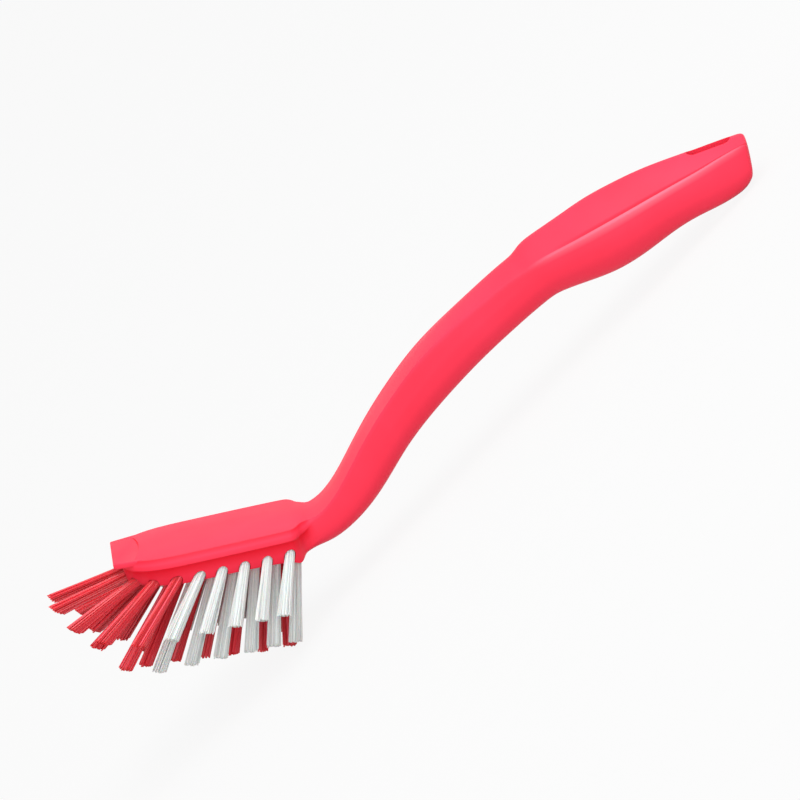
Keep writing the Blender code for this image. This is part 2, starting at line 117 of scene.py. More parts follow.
class Bench:
    """Selects, edits and finishes one object at a time."""

    @staticmethod
    def pick(piece: bpy.types.Object) -> None:
        """Make a piece the only selected and the active object.

        Args:
            piece: The object.
        """
        bpy.ops.object.select_all(action="DESELECT")
        bpy.context.view_layer.objects.active = piece
        piece.select_set(True)

    @staticmethod
    def take(name: str) -> bpy.types.Object:
        """Name the object that was just made, and its mesh.

        Args:
            name: The name.

        Returns:
            The object.
        """
        piece = bpy.context.object
        piece.name = name
        piece.data.name = name
        return piece

    @classmethod
    def edit(cls, piece: bpy.types.Object) -> bmesh.types.BMesh:
        """Open a piece in edit mode with nothing selected.

        Args:
            piece: The object.

        Returns:
            Its edit mesh.
        """
        cls.pick(piece)
        bpy.ops.object.mode_set(mode="EDIT")
        bpy.ops.mesh.select_mode(type="VERT")
        bpy.ops.mesh.select_all(action="DESELECT")
        return bmesh.from_edit_mesh(piece.data)

    @staticmethod
    def close() -> None:
        """Leave edit mode."""
        bpy.ops.object.mode_set(mode="OBJECT")

    @classmethod
    def settle(cls, piece: bpy.types.Object, place: Matrix | None = None) -> None:
        """Move a piece's place into its mesh.

        Args:
            piece: The object.
            place: A further turn and shift, after the object's own.
        """
        bpy.context.view_layer.update()
        piece.data.transform((place or Matrix()) @ piece.matrix_world)
        piece.matrix_world = Matrix()

    @classmethod
    def apply(cls, piece: bpy.types.Object, kind: str, **settings: object) -> None:
        """Add a modifier with its settings and apply it.

        Args:
            piece: The object.
            kind: The modifier's type.
            **settings: Values of the modifier.
        """
        cls.pick(piece)
        step = piece.modifiers.new(kind.title(), kind)
        for name, value in settings.items():
            setattr(step, name, value)
        bpy.ops.object.modifier_apply(modifier=step.name)

    @classmethod
    def combine(cls, piece: bpy.types.Object, tool: bpy.types.Object, how: Join) -> None:
        """Join a tool to a piece, or cut it out, and throw the tool away.

        Args:
            piece: The object that is kept.
            tool: The object that is used up.
            how: Whether the tool is added or cut out.
        """
        cls.apply(piece, "BOOLEAN", operation=how.value, object=tool, solver="EXACT")
        bpy.data.objects.remove(tool, do_unlink=True)

    @classmethod
    def dress(cls, piece: bpy.types.Object, finish: bpy.types.Material, degrees: float) -> None:
        """Give a piece its finish and shade it smooth.

        Args:
            piece: The object.
            finish: Its one material.
            degrees: Angle from which two faces meet in a sharp edge.
        """
        piece.data.materials.clear()
        piece.data.materials.append(finish)
        cls.pick(piece)
        bpy.ops.object.shade_smooth_by_angle(angle=math.radians(degrees))

    @classmethod
    def copy(cls, piece: bpy.types.Object, name: str) -> bpy.types.Object:
        """Copy a piece with a mesh of its own.

        Args:
            piece: The object.
            name: Name of the copy.

        Returns:
            The copy.
        """
        twin = bpy.data.objects.new(name, piece.data.copy())
        twin.data.name = name
        bpy.context.scene.collection.objects.link(twin)
        return twin

    @classmethod
    def scatter(cls, piece: bpy.types.Object, places: list[Matrix]) -> bpy.types.Object:
        """Set a copy of a piece at each place, join the copies and throw the piece away.

        Args:
            piece: The object that is copied.
            places: Turn and shift of each copy.

        Returns:
            All copies as one object.
        """
        copies = []
        for place in places:
            twin = cls.copy(piece, piece.name)
            twin.data.transform(place)
            copies.append(twin)
        bpy.data.objects.remove(piece, do_unlink=True)
        cls.pick(copies[0])
        for twin in copies:
            twin.select_set(True)
        bpy.ops.object.join()
        return copies[0]


# Finishes


class Shader:
    """A node material under construction."""

    def __init__(self, name: str) -> None:
        """Start a material with its Principled shader.

        Args:
            name: Name of the material.
        """
        self.material = bpy.data.materials.new(name)
        self.material.use_nodes = True
        self.nodes = self.material.node_tree.nodes
        self.links = self.material.node_tree.links
        self.surface = self.nodes["Principled BSDF"]

    def add(self, kind: str, **settings: object) -> bpy.types.Node:
        """Add a node.

        Args:
            kind: Type of the node, without its prefix.
            **settings: Properties of the node, or values of its inputs by name.

        Returns:
            The node.
        """
        node = self.nodes.new(f"ShaderNode{kind}")
        for name, value in settings.items():
            if hasattr(node, name):
                setattr(node, name, value)
            else:
                node.inputs[name.replace("_", " ")].default_value = value
        return node

    def link(self, source: bpy.types.NodeSocket, target: bpy.types.NodeSocket) -> None:
        """Join one node's output to another's input."""
        self.links.new(source, target)

    def feed(
        self, value: bpy.types.NodeSocket | Colour | float, target: bpy.types.NodeSocket
    ) -> None:
        """Link an output to an input, or write a constant on the input itself.

        Args:
            value: Output of another node, or the constant.
            target: The input.
        """
        if isinstance(value, bpy.types.NodeSocket):
            self.link(value, target)
        else:
            target.default_value = (*value, 1.0) if isinstance(value, tuple) else value

    def set(self, **values: object) -> None:
        """Set inputs of the Principled shader by name."""
        for name, value in values.items():
            self.surface.inputs[name.replace("_", " ")].default_value = value

    def ramp(
        self, source: bpy.types.NodeSocket, stops: list[tuple[float, Colour]]
    ) -> bpy.types.NodeSocket:
        """Colour a value.

        Args:
            source: The value.
            stops: Places from 0 to 1 with their colours.

        Returns:
            The colour output.
        """
        node = self.add("ValToRGB")
        line = node.color_ramp.elements
        while len(line) < len(stops):
            line.new(1.0)
        for element, (place, colour) in zip(line, stops):
            element.position = place
            element.color = (*colour, 1.0)
        self.link(source, node.inputs["Fac"])
        return node.outputs["Color"]

    def rescale(
        self, source: bpy.types.NodeSocket, low: float, high: float
    ) -> bpy.types.NodeSocket:
        """Stretch a value from 0 to 1 onto another range.

        Args:
            source: The value.
            low: What 0 becomes.
            high: What 1 becomes.

        Returns:
            The stretched value.
        """
        node = self.add("MapRange", To_Min=low, To_Max=high)
        self.link(source, node.inputs["Value"])
        return node.outputs["Result"]

    def mix(
        self, share: bpy.types.NodeSocket | float, first: bpy.types.NodeSocket | Colour,
        second: bpy.types.NodeSocket | Colour, how: str = "MIX",
    ) -> bpy.types.NodeSocket:
        """Mix two colours; each input is an output of another node or a constant.

        Args:
            share: How much of the second.
            first: Colour at 0.
            second: Colour at 1.
            how: Blend type.

        Returns:
            The mixed colour.
        """
        node = self.add("Mix", data_type="RGBA", blend_type=how)
        self.feed(share, node.inputs[0])
        self.feed(first, node.inputs[6])
        self.feed(second, node.inputs[7])
        return node.outputs[2]

    def noise(
        self, scale: float, detail: float, stretch: Colour | None = None
    ) -> bpy.types.NodeSocket:
        """Make noise on object coordinates.

        Args:
            scale: Waves per metre.
            detail: Octaves.
            stretch: Scale along each axis, where the pattern runs one way.

        Returns:
            The noise value.
        """
        place = self.add("TexCoord").outputs["Object"]
        if stretch:
            turn = self.add("Mapping", Scale=stretch)
            self.link(place, turn.inputs["Vector"])
            place = turn.outputs["Vector"]
        node = self.add("TexNoise", Scale=scale, Detail=detail)
        self.link(place, node.inputs["Vector"])
        return node.outputs["Fac"]

    def bump(self, height: bpy.types.NodeSocket, strength: float, distance: float) -> None:
        """Raise the surface by a height pattern, on top of any bump made before.

        Args:
            height: The pattern.
            strength: Share of it that shows.
            distance: Height in metres of the pattern's full range.
        """
        node = self.add("Bump", Strength=strength, Distance=distance)
        self.link(height, node.inputs["Height"])
        before = self.surface.inputs["Normal"].links
        if before:
            self.link(before[0].from_socket, node.inputs["Normal"])
        self.link(node.outputs["Normal"], self.surface.inputs["Normal"])


@dataclass(frozen=True)
class MouldedPlastic:
    """Glossy coloured plastic as it comes from a polished mould."""

    name: str = "red_moulded_plastic"
    colour: Colour = srgb(254, 61, 88)
    deep: Colour = srgb(253, 55, 79)
    # Paler colour painted on as a highlight, and darker colour painted on as shade.
    highlight_tint: Colour = srgb(255, 132, 152)
    shade_tint: Colour = srgb(236, 20, 42)
    roughness: tuple[float, float] = (0.45, 0.56)
    cloud_scale: float = 26.0
    wiped_scale: float = 90.0
    wiped_stretch: Colour = (0.35, 1.0, 1.0)
    peel: tuple[tuple[float, float, float, float], ...] = (
        (420.0, 2.0, 0.06, 0.05 * MM), (2600.0, 1.0, 0.05, 0.02 * MM),
    )
    refraction: float = 1.42
    sheen_level: float = 0.15

    def make(self) -> bpy.types.Material:
        """Build the material: clouded colour, gloss, orange peel, painted highlight and shade.

        Returns:
            The material, which reads the painted highlight and painted shade shares off the piece.
        """
        shader = Shader(self.name)
        cloud = shader.noise(self.cloud_scale, 3.0)
        tone = shader.ramp(cloud, [(0.3, self.deep), (0.7, self.colour)])
        # Mix in the painted highlight and the painted shade by the shares on the piece.
        for name, other in (("rubbed", self.highlight_tint), ("sunk", self.shade_tint)):
            share = shader.add("Attribute", attribute_name=name).outputs["Fac"]
            tone = shader.mix(share, tone, other)
        shader.link(tone, shader.surface.inputs["Base Color"])
        wiped = shader.noise(self.wiped_scale, 4.0, self.wiped_stretch)
        shader.link(shader.rescale(wiped, *self.roughness), shader.surface.inputs["Roughness"])
        for scale, detail, strength, distance in self.peel:
            shader.bump(shader.noise(scale, detail), strength, distance)
        shader.set(IOR=self.refraction, Specular_IOR_Level=self.sheen_level)
        return shader.material


@dataclass(frozen=True)
class Filament:
    """Drawn plastic filament, each strand a little lighter or darker than the next."""

    name: str
    dark: Colour
    middle: Colour
    light: Colour
    cut: Colour
    roughness: tuple[float, float] = (0.34, 0.5)
    speck_scale: float = 1400.0
    speck: float = 0.92
    fuzz_scale: float = 2400.0
    fuzz: tuple[float, float] = (0.15, 0.03 * MM)
    cut_reach: tuple[float, float] = (0.975, 0.995)
    refraction: float = 1.5
    depth_share: float = 0.2
    depth: float = 0.8 * MM

    def make(self) -> bpy.types.Material:
        """Build the material: a tone for each strand, mottling along it and a fuzzed cut end.

        Returns:
            The material, which reads "strand_tone" and "reach" off the piece.
        """
        shader = Shader(self.name)
        tone = shader.add("Attribute", attribute_name="strand_tone").outputs["Fac"]
        reach = shader.add("Attribute", attribute_name="reach").outputs["Fac"]
        strand = shader.ramp(
            tone, [(0.0, self.dark), (0.35, self.middle), (0.8, self.middle), (1.0, self.light)]
        )
        mottling = shader.noise(self.speck_scale, 3.0)
        speck = shader.ramp(mottling, [(0.25, (self.speck,) * 3), (0.6, WHITE)])
        strand = shader.mix(1.0, strand, speck, "MULTIPLY")
        below, above = self.cut_reach
        trimmed = shader.ramp(reach, [(below, BLACK), (above, WHITE)])
        shader.link(shader.mix(trimmed, strand, self.cut), shader.surface.inputs["Base Color"])
        shader.link(shader.rescale(tone, *self.roughness), shader.surface.inputs["Roughness"])
        shader.bump(shader.noise(self.fuzz_scale, 2.0), *self.fuzz)
        shader.set(
            IOR=self.refraction, Subsurface_Weight=self.depth_share, Subsurface_Scale=self.depth
        )
        return shader.material


@dataclass(frozen=True)
class FlatWire:
    """Bright drawn steel of the anchors."""

    name: str = "anchor_steel"
    colour: Colour = srgb(190, 192, 196)
    dull: Colour = srgb(150, 152, 157)
    roughness: tuple[float, float] = (0.25, 0.45)
    cloud_scale: float = 700.0
    drawn_scale: float = 300.0
    drawn_stretch: Colour = (0.1, 6.0, 6.0)
    drawn: tuple[float, float] = (0.2, 0.01 * MM)

    def make(self) -> bpy.types.Material:
        """Build the material: metal with lines along the wire and a cloudy sheen.

        Returns:
            The material.
        """
        shader = Shader(self.name)
        cloud = shader.noise(self.cloud_scale, 3.0)
        tint = shader.ramp(cloud, [(0.3, self.dull), (0.7, self.colour)])
        shader.link(tint, shader.surface.inputs["Base Color"])
        lines = shader.noise(self.drawn_scale, 4.0, self.drawn_stretch)
        shader.link(shader.rescale(lines, *self.roughness), shader.surface.inputs["Roughness"])
        shader.bump(lines, *self.drawn)
        shader.set(Metallic=1.0)
        return shader.material


def seen_rays(nodes: bpy.types.Nodes, links: bpy.types.NodeLinks) -> bpy.types.NodeSocket:
    """Tell the rays that show the background from those that light the brush.

    Args:
        nodes: Nodes of the floor's or the world's tree.
        links: Links of the same tree.

    Returns:
        Output that is 1 for camera, glossy and transmission rays, and 0 for the others.
    """
    rays = nodes.new("ShaderNodeLightPath")
    seen = rays.outputs["Is Camera Ray"]
    for kind in ("Is Glossy Ray", "Is Transmission Ray"):
        either = nodes.new("ShaderNodeMath")
        either.operation = "MAXIMUM"
        links.new(seen, either.inputs[0])
        links.new(rays.outputs[kind], either.inputs[1])
        seen = either.outputs[0]
    return seen


@dataclass(frozen=True)
class PaleFloor:
    """White paper floor that stays white in the picture and keeps a soft shadow."""

    name: str = "pale_floor"
    tone: float = 0.5
    grain: float = 0.01
    grain_scale: float = 60.0
    roughness: float = 0.9
    glow_share: float = 0.90

    def make(self) -> bpy.types.Material:
        """Build the material: paper for the light, and mostly plain white for the camera.

        Returns:
            The material.
        """
        shader = Shader(self.name)
        low, high = self.tone - self.grain, self.tone + self.grain
        paper = shader.noise(self.grain_scale, 4.0)
        grain = shader.ramp(paper, [(0.3, (low,) * 3), (0.7, (high,) * 3)])
        shader.link(grain, shader.surface.inputs["Base Color"])
        shader.set(Roughness=self.roughness)
        white = shader.add("Emission", Color=(*WHITE, 1.0), Strength=1.0)
        share = shader.add("Math", operation="MULTIPLY")
        share.inputs[1].default_value = self.glow_share
        shader.link(seen_rays(shader.nodes, shader.links), share.inputs[0])
        both = shader.add("MixShader")
        shader.link(share.outputs[0], both.inputs[0])
        shader.link(shader.surface.outputs[0], both.inputs[1])
        shader.link(white.outputs[0], both.inputs[2])
        shader.link(both.outputs[0], shader.nodes["Material Output"].inputs["Surface"])
        return shader.material


# Place of the brush on the table


@dataclass(frozen=True)
class Rest:
    """How the level brush is laid down on its rear bristle tips and the end of its handle.

    Both values are what the solids' source works out when it lets the brush settle.
    """

    tilt: float = 33.57005876
    shift: tuple[float, float, float] = (-58.01334977 * MM, 0.0, 29.74453569 * MM)

    def place(self) -> Matrix:
        """Turn and shift from the level head to the table."""
        return Matrix.Translation(self.shift) @ Matrix.Rotation(math.radians(self.tilt), 4, "Y")


REST = Rest()


# Moulding


@dataclass
class Head:
    """Block of the head: crowned plateau, rounded edge, ledge, drafted wall and underside."""

    plateau_width: float = 39.4 * MM
    plateau_crown: float = 0.95 * MM
    plateau_lift: float = 0.6 * MM
    edge_inset: float = 0.35 * MM
    edge_reach: float = 0.95 * MM
    edge_drop: float = 1.95 * MM
    shoulder_reach: float = 1.45 * MM
    shoulder_drop: float = 3.5 * MM
    ledge: float = 0.45 * MM
    wall_draft: float = 1.3 * MM
    depth: float = 13.0 * MM
    underside_crown: float = 1.5 * MM
    foot_rise: float = 1.1 * MM
    foot_start: float = 0.6
    length: float = 64.5 * MM
    nose_length: float = 22.5 * MM
    nose_lift: float = 4.0 * MM
    nose_fullness: float = 2.7
    heel_length: float = 6.5 * MM
    heel_drop: float = 1.2 * MM
    top_shares: tuple[float, ...] = (0.0, 0.28, 0.55, 0.78, 0.94, 1.0)
    wall_shares: tuple[float, ...] = (0.62, 1.0)
    underside_shares: tuple[float, ...] = (0.88, 0.60, 0.30, 0.0)
    nose_turns: tuple[float, ...] = (0.88, 0.72, 0.55, 0.37, 0.18, 0.0)
    flank_places: tuple[float, ...] = (0.30, 0.65)
    heel: tuple[tuple[float, float, float], ...] = (
        (0.92, 0.985, 0.3), (0.70, 0.95, 1.0), (0.44, 0.84, 1.0), (0.26, 0.67, -0.1),
        (0.0, 0.60, -0.8),
    )

    def nose_centre(self) -> float:
        """Place where the straight flanks end and the nose begins to turn in."""
        return self.nose_length - self.length

    def underside(self, x: float, y: float) -> float:
        """Height of the underside, which is crowned across and lifts towards the nose.

        Args:
            x: Place along the brush.
            y: Place across it.

        Returns:
            The height, below zero.
        """
        share = min(max((self.nose_centre() - x) / self.nose_length, 0.0), 1.0)
        lift = self.nose_lift * (1.0 - math.cos(math.asin(share)))
        across = y / (self.plateau_width / 2.0)
        return self.underside_crown * across * across + lift - self.depth

    def section(self, x: float, top_share: float, foot_share: float, drop: float) -> list[Vector]:
        """Half section from the middle of the plateau to the middle of the underside.

        Args:
            x: Place along the brush.
            top_share: Share of the full width at the plateau.
            foot_share: Share of the full width at the lower edge.
            drop: How far the underside hangs lower here.

        Returns:
            Fifteen points.
        """
        half_width = self.plateau_width / 2.0
        top = (half_width - self.edge_inset) * top_share
        rounded = (half_width + self.edge_reach) * top_share
        side = (half_width + self.shoulder_reach) * top_share
        foot = (half_width + self.shoulder_reach - self.wall_draft) * foot_share
        rise = self.foot_rise * (1.0 - min(abs(drop) / self.heel_drop, 1.0))
        edge = self.underside(x, half_width) + rise - drop
        half = [
            (share * top, self.plateau_lift - share * share * self.plateau_crown)
            for share in self.top_shares
        ]
        inset = self.ledge * top_share
        wall = (side - inset, -self.shoulder_drop - self.ledge)
        half += [(rounded, -self.edge_drop), (side, -self.shoulder_drop), wall]
        for share in self.wall_shares:
            half.append((blend(wall[0], foot, share), blend(wall[1], edge, share)))
        for share in self.underside_shares:
            lift = rise * ease((share - self.foot_start) / (1.0 - self.foot_start)) - drop
            half.append((share * foot, self.underside(x, share * foot) + lift))
        return [Vector((x, y, z)) for y, z in half]

    def sections(self) -> list[list[Vector]]:
        """Set out all half sections of the head.

        Returns:
            The sections from the front of the nose to the neck.
        """
        found = []
        for share in self.nose_turns:
            turn = share * math.pi / 2.0
            forward = math.sin(turn)
            full = (1.0 - forward ** self.nose_fullness) ** (1.0 / self.nose_fullness)
            x = self.nose_centre() - self.nose_length * forward
            found.append(self.section(x, full, math.cos(turn), 0.0))
        for share in self.flank_places:
            x = blend(self.nose_centre(), -self.heel_length, share)
            found.append(self.section(x, 1.0, 1.0, 0.0))
        for place, width, drop in self.heel:
            x = -self.heel_length * place
            found.append(self.section(x, width, width, self.heel_drop * drop))
        return found


@dataclass
class Handle:
    """Bent handle: shaft, leaf-faced grip with a bead at each side, finger swell, waist and end."""

    run: float = 175.5 * MM
    rise: float = 90.0 * MM
    places: tuple[float, ...] = (0.02, 0.17, 0.34, 0.52, 0.69, 0.88, 0.97)
    widths: tuple[float, ...] = (
        22.8 * MM, 22.0 * MM, 22.0 * MM, 22.0 * MM, 30.0 * MM, 23.0 * MM, 19.0 * MM,
    )
    depths: tuple[float, ...] = (
        11.8 * MM, 16.3 * MM, 19.2 * MM, 19.5 * MM, 27.4 * MM, 21.2 * MM, 19.2 * MM,
    )
    spine: Table = (
        (0.023, -0.067), (0.051, -0.048), (0.083, -0.005), (0.114, 0.052), (0.148, 0.130),
        (0.194, 0.238), (0.251, 0.345), (0.313, 0.447), (0.382, 0.543), (0.456, 0.631),
        (0.492, 0.672), (0.511, 0.692), (0.527, 0.709), (0.539, 0.7215), (0.551, 0.734),
        (0.567, 0.7475), (0.593, 0.767), (0.638, 0.796), (0.684, 0.822), (0.741, 0.858),
        (0.798, 0.897), (0.855, 0.924), (0.900, 0.940), (0.940, 0.956), (0.970, 0.967),
        (0.987, 0.971), (0.996, 0.971),
    )
    ridge: Table = (
        (0.0, 0.92), (0.15, 0.82), (0.32, 0.80), (0.40, 0.71), (0.47, 0.61), (0.505, 0.55),
        (0.54, 0.46), (0.57, 0.40), (0.62, 0.31), (0.69, 0.31), (0.80, 0.29), (0.855, 0.37),
        (0.90, 0.47), (0.94, 0.59), (0.97, 0.66), (1.0, 0.74),
    )
    crown: Table = (
        (0.0, 1.0), (0.12, 0.97), (0.23, 0.85), (0.36, 0.93), (0.48, 0.965), (0.527, 0.97),
        (0.551, 1.085), (0.567, 1.07), (0.62, 0.94), (0.72, 0.985), (0.80, 1.025), (0.855, 1.02),
        (0.90, 0.985), (0.95, 0.985), (1.0, 0.93),
    )
    groove: Table = ((0.0, 0.0), (0.56, 0.0), (0.66, 0.07), (0.985, 0.09), (1.0, 0.03))
    bead: Table = (
        (0.0, 0.0), (0.53, 0.0), (0.60, 0.06), (0.80, 0.08), (0.985, 0.06), (1.0, 0.0),
    )
    creases: dict[int, Table] = field(default_factory=lambda: {
        4: ((0.0, 0.0), (0.56, 0.0), (0.66, 0.8), (0.985, 0.8), (1.0, 0.0)),
        5: ((0.0, 0.0), (0.56, 0.0), (0.66, 0.8), (0.985, 0.8), (1.0, 0.0)),
        6: ((0.0, 0.6), (0.15, 0.6), (0.5, 0.6), (0.56, 0.85), (0.95, 0.85), (1.0, 0.4)),
        7: ((0.0, 0.0), (0.53, 0.0), (0.58, 0.85), (0.95, 0.85), (1.0, 0.4)),
        9: ((0.0, 0.0), (0.12, 0.0), (0.2, 0.5), (0.48, 0.5), (0.54, 0.0), (1.0, 0.0)),
    })
    # Painted highlight along the crest of the bead, by row and along the run.
    rubbed: dict[int, Table] = field(default_factory=lambda: {
        6: ((0.0, 0.0), (0.53, 0.0), (0.60, 0.4), (0.80, 0.6), (0.96, 0.4), (1.0, 0.0)),
        7: ((0.0, 0.0), (0.53, 0.0), (0.60, 0.4), (0.80, 0.6), (0.96, 0.4), (1.0, 0.0)),
    })
    # Painted shade in the groove beside the bead, by row and along the run.
    sunk: dict[int, Table] = field(default_factory=lambda: {
        5: ((0.0, 0.0), (0.60, 0.0), (0.72, 0.5), (0.985, 0.8), (1.0, 0.4)),
    })
    end_width: Table = ((0.0, 1.0), (0.93, 1.0), (0.972, 0.96), (0.990, 0.86), (1.0, 0.70))
    end_lower: Table = ((0.0, 1.0), (0.94, 1.0), (0.972, 0.88), (0.990, 0.62), (1.0, 0.34))
    across: tuple[float, ...] = (
        0.0, 0.28, 0.54, 0.73, 0.81, 0.86, 0.915, 0.968, 0.985, 1.012, 0.986, 0.91, 0.72, 0.40,
        0.0,
    )
    fall: tuple[float, ...] = (0.0, 0.20, 0.46, 0.70, 0.815, 0.895)
    lower: tuple[float, ...] = (-0.53, -0.81, -1.005, -1.055)
    rim_fall: tuple[float, ...] = (0.0, 0.05, 0.17)
    rim_bead: tuple[float, ...] = (1.0, 0.9, 0.0)
    side_ridge: tuple[float, float] = (0.30, 0.10)
    side_fall: tuple[float, float] = (0.12, 0.40)
    middle_dip: float = 0.015
    cage_swell: float = 1.034

    def size(self, values: tuple[float, ...], place: float) -> float:
        """Half of a width or depth at a share of the run."""
        return read_off(tuple(zip(self.places, values)), place) / 2.0

    def point(self, index: int) -> Vector:
        """Point of the middle line."""
        run, rise = self.spine[min(max(index, 0), len(self.spine) - 1)]
        return Vector((run * self.run, 0.0, rise * self.rise))

    def swell(self) -> float:
        """How much wider a ring of the cage is than the smooth surface drawn through it."""
        return 6.0 / (4.0 + 2.0 * math.cos(math.pi / (len(self.across) - 1)))

    def section(self, index: int) -> list[Vector]:
        """Half section square to the middle line at one of its points.

        Args:
            index: Number of the point.

        Returns:
            Fifteen points from the middle of the top to the middle of the underside.
        """
        place = self.spine[index][0]
        half_width = self.size(self.widths, place) * self.swell() * read_off(self.end_width, place)
        half_depth = self.size(self.depths, place) * self.swell()
        ridge = read_off(self.ridge, place) * self.cage_swell
        crown = read_off(self.crown, place) * self.cage_swell
        top = crown - self.middle_dip * (crown - ridge)
        groove, bead = read_off(self.groove, place), read_off(self.bead, place)
        end = read_off(self.end_lower, place)
        face = [blend(top, ridge, share) for share in self.fall]
        face[-1] -= groove
        rim = [ridge - fall + part * bead for fall, part in zip(self.rim_fall, self.rim_bead)]
        side = [part * ridge - fall for part, fall in zip(self.side_ridge, self.side_fall)]
        side[-1] *= end
        ups = (*face, *rim, *side, *(up * end for up in self.lower))
        along = (self.point(index + 1) - self.point(index - 1)).normalized()
        up_way = Vector((-along.z, 0.0, along.x))
        return [
            self.point(index) + up_way * (up * half_depth) + Vector((0.0, across * half_width, 0.0))
            for across, up in zip(self.across, ups)
        ]


@dataclass
class Lip:
    """Flat scraper lip at the nose, with the hollow step behind it."""

    width: float = 27.2 * MM
    root_width: float = 32.0 * MM
    reach: float = 2.2 * MM
    length: float = 10.5 * MM
    thickness: float = 2.0 * MM
    step: float = 0.1 * MM
    seat: float = 0.05 * MM
    sink: float = 0.08 * MM
    step_radius: float = 44.0 * MM
    step_height: float = 8.0 * MM
    step_sides: int = 220
    step_place: float = 7.5 * MM
    step_rounding: float = 0.35 * MM
    step_shade: float = 0.7
    rounding: float = 0.45 * MM
    level: float = 0.99

    def plate(self, head: Head) -> bpy.types.Object:
        """Model the plate that is added to the head.

        Args:
            head: The head that carries it.

        Returns:
            The plate.
        """
        front = -head.length - self.reach
        height = -self.step - self.seat - self.thickness / 2.0
        bpy.ops.mesh.primitive_cube_add(
            size=1.0, location=(front + self.length / 2.0, 0.0, height),
            scale=(self.length, self.width, self.thickness),
        )
        plate = Bench.take("scraper_lip")
        Bench.settle(plate)
        edit = Bench.edit(plate)
        for vert in edit.verts:
            vert.select = vert.co.x > front + self.length / 2.0
        edit.select_flush_mode()
        root = (front + self.length, 0.0, height)
        flare = (1.0, self.root_width / self.width, 1.0)
        bpy.ops.transform.resize(value=flare, center_override=root)
        bpy.ops.mesh.select_all(action="SELECT")
        bpy.ops.mesh.bevel(offset=self.rounding, offset_type="OFFSET", segments=3, profile=0.5)
        Bench.close()
        return plate

    def disc(self, head: Head) -> bpy.types.Object:
        """Model the disc that sinks the lip and leaves the hollow edge of the plateau.

        Args:
            head: The head that it is cut from.

        Returns:
            The disc, with painted shade on its rounded edge.
        """
        edge = self.step_place - head.length
        height = self.step_height / 2.0 - self.step - self.sink
        bpy.ops.mesh.primitive_cylinder_add(
            vertices=self.step_sides, radius=self.step_radius, depth=self.step_height,
            location=(edge - self.step_radius, 0.0, height),
        )
        disc = Bench.take("lip_step")
        Bench.settle(disc)
        edit = Bench.edit(disc)
        for vert in edit.verts:
            vert.select = vert.co.z < 0.0
        edit.select_flush_mode()
        bpy.ops.mesh.bevel(
            offset=self.step_rounding, offset_type="OFFSET", segments=3, profile=0.5
        )
        Bench.close()
        # Painted shade on the disc's rounded edge, which the cut leaves on the step behind the lip.
        shares = []
        for face in disc.data.polygons:
            shade = 0.0 if abs(face.normal.z) > self.level else self.step_shade
            shares += [shade] * face.loop_total
        disc.data.attributes.new("sunk", "FLOAT", "CORNER").data.foreach_set("value", shares)
        return disc


@dataclass
class Slot:
    """Hanging slot with round ends, square to the last stretch of the handle."""

    length: float = 16.0 * MM
    width: float = 6.2 * MM
    end_wall: float = 3.9 * MM
    margin: float = 18.4 * MM
    ends: int = 32
    straight_rows: int = 4

    def cutter(self, handle: Handle) -> bpy.types.Object:
        """Model the cutter: a cylinder whose far half is moved out to the slot's length.

        Args:
            handle: The handle that it is cut from.

        Returns:
            The cutter in its place.
        """
        last = len(handle.spine) - 1
        end = handle.point(last)
        along = (end - handle.point(last - self.straight_rows)).normalized()
        straight = self.length - self.width
        bpy.ops.mesh.primitive_cylinder_add(
            vertices=self.ends, radius=self.width / 2.0, depth=2.0 * self.margin,
            location=(-straight / 2.0, 0.0, 0.0), rotation=(0.0, 0.0, math.pi / self.ends),
        )
        cutter = Bench.take("hanging_slot")
        Bench.settle(cutter)
        edit = Bench.edit(cutter)
        for vert in edit.verts:
            vert.select = vert.co.x > -straight / 2.0
        edit.select_flush_mode()
        bpy.ops.transform.translate(value=(straight, 0.0, 0.0))
        Bench.close()
        centre = end - along * (self.end_wall + self.length / 2.0)
        turn = Matrix.Rotation(-math.atan2(along.z, along.x), 4, "Y")
        Bench.settle(cutter, Matrix.Translation(centre) @ turn)
        return cutter


